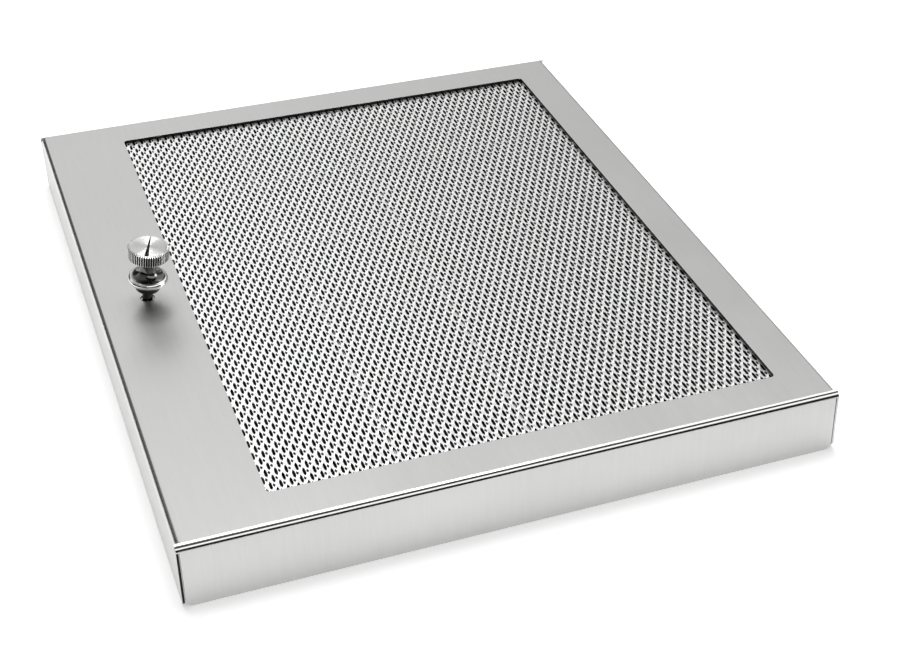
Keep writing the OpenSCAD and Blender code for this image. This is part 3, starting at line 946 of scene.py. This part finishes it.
class CASSETTE_OT_thumb_screw(bpy.types.Operator):
    """Turns the thumb screw, knurls and slots its head and threads its shank"""

    bl_idname = "cassette.thumb_screw"
    bl_label = "Thumb screw"

    def execute(self, context):
        look = context.scene.cassette_screw
        body = self.turn_body(look)
        head = self.knurl_head(look)
        for piece in (body, head):
            piece.rotation_euler = (look.lean_front, look.lean_side, 0)
            piece.location = SCREW_SEAT + SCREW_AXIS * look.lift
            settle(piece)
        polished = turned_steel("polished_neck", look.steel, 0.13, 2500.0, 0.03, 0.3, self.collar_and_neck_painted_shade)
        faced = turned_steel("turned_face", look.face, 0.3, 6000.0, 0.08, 0.9, self.head_grime_and_painted_shade)
        hand_over(body, "screw", "turned_steel", polished, "thumb_screw")
        hand_over(head, "screw", "turned_steel", faced)
        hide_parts("thumb_screw")
        return {"FINISHED"}

    def head_grime_and_painted_shade(self, wires, marks):
        """The mask of grime and painted shade in the knurl's grooves, of a painted shadow down in the slot, and of
        painted shade under the head.
        """
        look = bpy.context.scene.cassette_screw
        rim = look.head_d / 2
        radius = marks.outputs["Radius"]
        along = marks.outputs["Along"]
        top = look.lift + look.head_top
        # the knurl's grooves: partly real grime, partly painted shade
        groove = wires.spread(radius, rim - look.knurl_depth * 0.35, rim - look.knurl_depth * 0.05, 1.0, 0.0)
        outer = wires.maths("GREATER_THAN", radius, rim - look.knurl_depth * 1.2)
        level = wires.maths("LESS_THAN", along, top - 0.45 * MM)
        # the slot's deeper part: painted shadow of its edge
        slot = wires.spread(along, top - 1.2 * MM, top - 0.6 * MM, 1.0, 0.0)
        inner = wires.maths("LESS_THAN", radius, rim - 1.2 * MM)
        above = wires.maths("GREATER_THAN", along, top - look.slot_depth * 1.1)
        # the head's underside: painted shade
        under = wires.maths("MULTIPLY", wires.maths("LESS_THAN", along, top - look.head_h + 0.1 * MM), 0.8)
        knurl = wires.maths("MULTIPLY", wires.maths("MULTIPLY", groove, outer), level)
        recess = wires.maths("MULTIPLY", wires.maths("MULTIPLY", slot, inner), above)
        return wires.maths("MAXIMUM", wires.maths("MAXIMUM", knurl, recess), under)

    def collar_and_neck_painted_shade(self, wires, marks):
        """The mask of painted shade, a dark reflection painted into the colour: all of the collar and shank, and
        thinner round the neck.
        """
        look = bpy.context.scene.cassette_screw
        edge = look.lift + 5.6 * MM
        # collar and shank nearly black, the neck less so: painted dark reflection
        collar = wires.spread(marks.outputs["Along"], edge - 0.6 * MM, edge + 0.6 * MM, 0.965, 0.0)
        above = wires.maths("GREATER_THAN", marks.outputs["Along"], look.lift + 8 * MM)
        neck = wires.spread(marks.outputs["Radius"], 7.2 * MM, 8.8 * MM, 0.88, 0.0)
        return wires.maths("MAXIMUM", collar, wires.maths("MULTIPLY", neck, above))

    def turn_body(self, look):
        """Shank, collar, flange and waisted neck, ring by ring."""
        rings = turned_profile(look)
        start_clean()
        bpy.ops.mesh.primitive_circle_add(vertices=96, radius=rings[0][0], location=(0, 0, rings[0][1]), fill_type="NGON")
        body = bpy.context.object
        body.name = "screw_body"
        body.data.name = "screw_body"
        settle(body)
        edit("EDGE")
        bpy.ops.mesh.select_all(action="SELECT")
        radius, height = rings[0]
        for next_radius, next_height in rings[1:]:
            extrude(z=next_height - height)
            size(next_radius / radius, next_radius / radius, 1, (0, 0, next_height))
            radius, height = next_radius, next_height
        weld()
        bpy.ops.object.mode_set(mode="OBJECT")
        bpy.ops.object.shade_smooth_by_angle(angle=math.radians(40))
        return body

    def knurl_head(self, look):
        """The head: a straight knurl between two bevels, rings on its face, and a coin slot."""
        low = look.head_top - look.head_h
        radius = look.head_d / 2
        bevel = 0.5 * MM
        start_clean()
        bpy.ops.mesh.primitive_cylinder_add(
            vertices=4 * look.grooves, radius=radius, depth=look.head_h - 2 * bevel,
            location=(0, 0, low + look.head_h / 2), end_fill_type="NGON",
        )
        head = bpy.context.object
        head.name = "screw_head"
        head.data.name = "screw_head"
        settle(head)
        edit("VERT")
        pitch = 2 * math.pi / look.grooves

        def in_groove(vert):
            place = (math.atan2(vert.co.y, vert.co.x) / pitch) % 1.0
            return place > 0.4 and place < 0.9

        choose("verts", in_groove)
        deep = 1 - look.knurl_depth / radius
        size(deep, deep, 1)
        for way, level in ((1, look.head_top), (-1, low)):
            choose("faces", lambda face: face.normal.z * way > 0.9)
            extrude(z=way * bevel)
            inner = (radius - look.knurl_depth - bevel * 0.5) / radius
            size(inner, inner, 1)
            choose("faces", lambda face: face.normal.z * way > 0.9 and abs(middle(face).z - level) < TOUCH)
            round_rim(radius * inner, level)
            for step in range(4):
                choose("faces", lambda face: face.normal.z * way > 0.9 and len(face.verts) > 8)
                bpy.ops.mesh.inset(thickness=radius * 0.18)
        weld()
        bpy.ops.object.mode_set(mode="OBJECT")

        bpy.ops.mesh.primitive_cube_add(size=1, location=(0, 0, look.head_top))
        cutter = bpy.context.object
        cutter.scale = (look.slot_w, look.head_d - 2 * look.slot_land, 2 * look.slot_depth)
        settle(cutter)
        edit("VERT")
        choose("verts", lambda vert: vert.co.y > 0)
        size(x=look.slot_narrow)
        bpy.ops.object.mode_set(mode="OBJECT")
        cutter.rotation_euler.z = -look.slot_angle
        settle(cutter)
        subtract(head, cutter)
        pick(head)
        bpy.ops.object.shade_smooth_by_angle(angle=math.radians(25))
        return head


def round_rim(radius, level):
    """Pushes the vertices at a head's rim onto one circle."""
    choose("verts", lambda vert: abs(vert.co.z - level) < TOUCH and Vector(vert.co.xy).length > radius * 0.5)
    bpy.ops.transform.tosphere(value=1.0)


class CASSETTE_OT_cover_screws(bpy.types.Operator):
    """Models the pan-head screws of the rear cover, as one piece"""

    bl_idname = "cassette.cover_screws"
    bl_label = "Cover screws"

    def execute(self, context):
        look = context.scene.cassette_cover_screws
        model = self.one_screw(look)
        bed_low, bed_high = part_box("rail_left")[0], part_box("rail_right")[1]
        side_x = (bed_high.x - bed_low.x) / 2 - look.inset
        end_y = (bed_high.y - bed_low.y) / 2 - look.inset
        cell_w = WINDOW_W / (len(LONG_STRIPS) + 1)
        cell_d = WINDOW_D / (len(CROSS_STRIPS) + 1)
        places = [(x, (row + 0.5) * cell_d - WINDOW_D / 2) for x in (-side_x, side_x) for row in (0, 2, 4)]
        places += [((column + 0.5) * cell_w - WINDOW_W / 2, y) for y in (-end_y, end_y) for column in (0, 3)]
        made = []
        for index, (x, y) in enumerate(places):
            screw = copy_piece(model, "screw")
            screw.location = (WINDOW_X + x, y, COVER_LOW.z)
            screw.rotation_euler.z = math.radians(37 * index)
            settle(screw)
            made.append(screw)
        bpy.data.objects.remove(model)
        screws = join_pieces(made, "pan_screws")
        hand_over(
            screws, "cassette", "fastener_steel", rolled_steel("fastener_steel", (0.55, 0.55, 0.56), 0.1), "cover_screws"
        )
        return {"FINISHED"}

    def one_screw(self, look):
        """A pan head with a cross recess, and its shank, head down, the cover's lower face on z = 0."""
        start_clean()
        bpy.ops.mesh.primitive_cylinder_add(
            vertices=32, radius=look.head_d / 2, depth=look.head_h, location=(0, 0, -look.head_h / 2)
        )
        screw = bpy.context.object
        settle(screw)
        edit("EDGE")
        choose("edges", lambda rim: all(vert.co.z < -look.head_h + TOUCH for vert in rim.verts))
        bpy.ops.mesh.bevel(offset=0.75 * MM, segments=4)
        choose("faces", lambda face: face.normal.z > 0.9)
        bpy.ops.mesh.inset(thickness=(look.head_d - look.shank_d) / 2)
        extrude(z=look.shank_l - 0.8 * MM)
        extrude(z=0.8 * MM)
        size(0.5, 0.5, 1)
        bpy.ops.object.mode_set(mode="OBJECT")
        for turn in (0, 90):
            bpy.ops.mesh.primitive_cube_add(size=1, location=(0, 0, -look.head_h))
            cutter = bpy.context.object
            cutter.scale = (3.1 * MM, 0.75 * MM, 2 * MM)
            cutter.rotation_euler.z = math.radians(turn)
            settle(cutter)
            subtract(screw, cutter)
        pick(screw)
        bpy.ops.object.shade_smooth_by_angle(angle=math.radians(35))
        return screw


class CASSETTE_OT_inner_steel(bpy.types.Operator):
    """Finishes the rails, the strips of the grid, the rear cover, the washer and the clip"""

    bl_idname = "cassette.inner_steel"
    bl_label = "Rails, strips and cover"

    def execute(self, context):
        # the rails' upright faces are painted nearly black as shade
        finish_nodes(RAILS, rolled_steel("rail_steel", (0.62, 0.62, 0.62), 0.3, 1.0))
        finish_nodes(LONG_STRIPS + CROSS_STRIPS, rolled_steel("grid_steel", (0.8, 0.8, 0.8), 0.45))
        tray = context.scene.cassette_tray
        cover = brushed_sheet(tray.steel, tray.grain_depth)
        cover.name = "brushed_cover"
        finish_nodes(["rear_cover"], cover)
        small = rolled_steel("retainer_steel", (0.5, 0.5, 0.5), 0.1)
        finish_nodes(["retaining_washer", "retaining_clip"], small)
        return {"FINISHED"}


class CASSETTE_OT_studio(bpy.types.Operator):
    """Lays the floor, sets the light and places the camera"""

    bl_idname = "cassette.studio"
    bl_label = "Studio"

    def execute(self, context):
        look = context.scene.cassette_studio
        scene = context.scene
        scene.view_settings.view_transform = "Standard"
        self.floor(look)
        self.sky(scene)
        self.flags()
        self.soft_box(look)
        bpy.ops.object.camera_add(
            location=(-0.21388575, -0.74869396, 0.50324371),
            rotation=(math.radians(56.2176), math.radians(-1.1760), math.radians(-22.2671)),
        )
        camera = bpy.context.object
        camera.data.lens = look.lens
        camera.data.sensor_width = 36
        camera.data.shift_x = -look.centre_px / look.photo_w
        scene.camera = camera
        return {"FINISHED"}

    def floor(self, look):
        """A wide pale floor that keeps the object's shadow. From below it is clear, to show the underside."""
        start_clean()
        bpy.ops.mesh.primitive_circle_add(vertices=96, radius=12, fill_type="NGON", location=(0, 0, 0))
        floor = bpy.context.object
        floor.name = "studio_floor"
        material = bpy.data.materials.new("floor_paint")
        material.use_nodes = True
        wires = Wiring(material.node_tree)
        paint = wires.add("BsdfDiffuse")
        tone = wires.noise(wires.place(), 3.0, 2.0)
        white = look.floor_white
        wires.link(
            wires.blend(tone, (white, white, white, 1.0), (white * 0.99, white * 0.99, white * 0.985, 1.0)),
            paint.inputs["Color"],
        )
        lift = wires.add("Emission")
        rays = wires.add("LightPath")
        seen = wires.maths("MAXIMUM", rays.outputs["Is Camera Ray"], rays.outputs["Is Transmission Ray"])
        mirrored = wires.maths("MULTIPLY", rays.outputs["Is Glossy Ray"], 0.52)
        wires.link(wires.maths("MAXIMUM", wires.maths("MULTIPLY", seen, 0.4), mirrored), lift.inputs["Strength"])
        both = wires.add("AddShader")
        wires.link(paint.outputs[0], both.inputs[0])
        wires.link(lift.outputs[0], both.inputs[1])
        from_below = wires.add("MixShader")
        wires.link(wires.add("NewGeometry").outputs["Backfacing"], from_below.inputs[0])
        wires.link(both.outputs[0], from_below.inputs[1])
        wires.link(wires.add("BsdfTransparent").outputs[0], from_below.inputs[2])
        output = wires.add("OutputMaterial")
        wires.link(from_below.outputs[0], output.inputs[0])
        floor.data.materials.append(material)

    def sky(self, scene):
        """Soft light from all round, dimmer towards the horizon."""
        world = bpy.data.worlds.new("studio")
        scene.world = world
        world.use_nodes = True
        wires = Wiring(world.node_tree)
        way = wires.add("TexCoord")
        axes = wires.add("SeparateXYZ")
        wires.link(way.outputs["Generated"], axes.inputs[0])
        levels = []
        for values in (((0, 0.12), (0.16, 0.14), (0.32, 1.05), (0.45, 1.32), (0.55, 1.26), (0.65, 1.04), (0.85, 0.52)),
                       ((0, 0.12), (0.16, 0.14), (0.4, 0.35), (0.85, 0.45))):
            ramp = wires.add("ValToRGB")
            stops = ramp.color_ramp.elements
            stops.remove(stops[0])
            stops[0].position = 1.0
            stops[0].color = (0.4, 0.4, 0.4, 1)
            for position, value in values:
                stop = stops.new(position)
                stop.color = (value, value, value, 1)
            wires.link(axes.outputs["Z"], ramp.inputs[0])
            levels.append(ramp.outputs[0])
        behind = wires.vector("DOT_PRODUCT", way.outputs["Generated"], tuple(-TOWARD_CAMERA))
        dim_right = wires.vector("DOT_PRODUCT", way.outputs["Generated"], (0.44, 0.66, 0.61))
        dim_left = wires.vector("DOT_PRODUCT", way.outputs["Generated"], (-0.5, 0.81, 0.3))
        background = wires.add("Background")
        wires.link(wires.blend(wires.spread(behind, -0.35, 0.2, 1.0, 0.0), *levels), background.inputs["Color"])
        dimmed = wires.maths(
            "MULTIPLY", wires.spread(dim_right, 0.958, 0.992, 1.0, 0.04), wires.spread(dim_left, 0.92, 0.96, 1.0, 0.1))
        wires.link(dimmed, background.inputs["Strength"])
        output = wires.add("OutputWorld")
        wires.link(background.outputs[0], output.inputs[0])

    def flags(self):
        """Cards seen only in the gloss of the metal: on the camera's side two dark ones with a pale one between,
        a bright one above and one at the right."""
        start_clean()
        bpy.ops.mesh.primitive_circle_add(vertices=72, radius=2.2, location=(0, 0, 0.002))
        low_flag = bpy.context.object
        edit("VERT")
        right = TOWARD_CAMERA.cross(Vector((0, 0, -1)))
        choose("verts", lambda vert: not -75 < math.degrees(
            math.atan2(vert.co.dot(right), vert.co.dot(TOWARD_CAMERA))) < 80)
        bpy.ops.mesh.delete(type="VERT")
        bpy.ops.mesh.select_all(action="SELECT")
        extrude(z=0.75)
        choose("edges", lambda edge: all(vert.co.z < 0.01 for vert in edge.verts))
        extrude()
        size(0.145, 0.145, 1)
        bpy.ops.object.mode_set(mode="OBJECT")
        self.make_card(low_flag, "low_flag", 0.02)
        aside = math.radians(-66)
        for name, height, breadth, strength in (("pale_card", 35, 0.75, 1.8), ("high_flag", 60, 0.6, 0.02)):
            up = math.radians(height)
            flat = 2 * math.cos(up)
            start_clean()
            bpy.ops.mesh.primitive_plane_add(
                size=1, location=(flat * math.cos(aside), flat * math.sin(aside), 2 * math.sin(up)))
            card = bpy.context.object
            card.scale = (2.6, breadth, 1)
            card.rotation_euler = (math.radians(90) - up, 0, math.radians(90) + aside)
            self.make_card(card, name, strength)
        start_clean()
        bpy.ops.mesh.primitive_plane_add(size=1, location=(1.1, 0.3, 1.7))
        self.make_card(bpy.context.object, "top_card", 2.0)
        aside = math.radians(-16)
        start_clean()
        bpy.ops.mesh.primitive_plane_add(
            size=1, location=(2.2 * math.cos(aside), 2.2 * math.sin(aside), 0.6))
        card = bpy.context.object
        card.scale = (0.9, 1.1, 1)
        card.rotation_euler = (math.radians(90), 0, math.radians(90) + aside)
        self.make_card(card, "side_card", 9.0)

    def make_card(self, card, name, strength):
        """Gives a card its even glow, and hides it from all but the gloss."""
        paint = bpy.data.materials.new(name)
        paint.use_nodes = True
        wires = Wiring(paint.node_tree)
        glow = wires.add("Emission")
        glow.inputs["Strength"].default_value = strength
        output = wires.add("OutputMaterial")
        wires.link(glow.outputs[0], output.inputs[0])
        card.name = name
        card.data.materials.append(paint)
        card.visible_camera = False
        card.visible_diffuse = False
        card.visible_shadow = False
        card.visible_transmission = False

    def soft_box(self, look):
        """One broad lamp above and behind the cassette."""
        bpy.ops.object.light_add(type="AREA", location=(0.08, 0.32, 1.7))
        lamp = bpy.context.object
        lamp.name = "soft_box"
        lamp.data.shape = "RECTANGLE"
        lamp.data.size = 1.0
        lamp.data.size_y = 0.8
        lamp.data.energy = look.soft_box
        way = Vector((0, 0, 0)) - lamp.location
        lamp.rotation_euler = way.to_track_quat("-Z", "Y").to_euler()


class CASSETTE_PT_panel(bpy.types.Panel):
    """Sizes, finishes and steps of the cassette"""

    bl_idname = "CASSETTE_PT_panel"
    bl_label = "Carbon filter cassette"
    bl_space_type = "VIEW_3D"
    bl_region_type = "UI"
    bl_category = "Cassette"

    def draw(self, context):
        for title, group in PROPERTY_GROUPS.items():
            box = self.layout.box()
            box.label(text=title.replace("_", " ").capitalize())
            look = getattr(context.scene, title)
            for name in group.__annotations__:
                box.prop(look, name)
        for operator in OPERATORS:
            self.layout.operator(operator.bl_idname)


PROPERTY_GROUPS = {
    "cassette_tray": TrayFinish,
    "cassette_mesh": MeshSize,
    "cassette_carbon": CarbonSize,
    "cassette_screw": ScrewSize,
    "cassette_cover_screws": CoverScrewSize,
    "cassette_studio": StudioLook,
}
OPERATORS = [
    CASSETTE_OT_tray,
    CASSETTE_OT_meshes,
    CASSETTE_OT_carbon,
    CASSETTE_OT_thumb_screw,
    CASSETTE_OT_cover_screws,
    CASSETTE_OT_inner_steel,
    CASSETTE_OT_studio,
]


def register():
    """Registers the property groups, the operators and the panel."""
    for title, group in PROPERTY_GROUPS.items():
        bpy.utils.register_class(group)
        setattr(bpy.types.Scene, title, bpy.props.PointerProperty(type=group))
    for operator in OPERATORS:
        bpy.utils.register_class(operator)
    bpy.utils.register_class(CASSETTE_PT_panel)


def unregister():
    """Takes them out again."""
    bpy.utils.unregister_class(CASSETTE_PT_panel)
    for operator in reversed(OPERATORS):
        bpy.utils.unregister_class(operator)
    for title, group in PROPERTY_GROUPS.items():
        delattr(bpy.types.Scene, title)
        bpy.utils.unregister_class(group)


def main():
    """Builds the whole scene."""
    register()
    bpy.ops.cassette.tray()
    bpy.ops.cassette.meshes()
    bpy.ops.cassette.carbon()
    bpy.ops.cassette.thumb_screw()
    bpy.ops.cassette.cover_screws()
    bpy.ops.cassette.inner_steel()
    bpy.ops.cassette.studio()


if __name__ == "__main__":
    main()
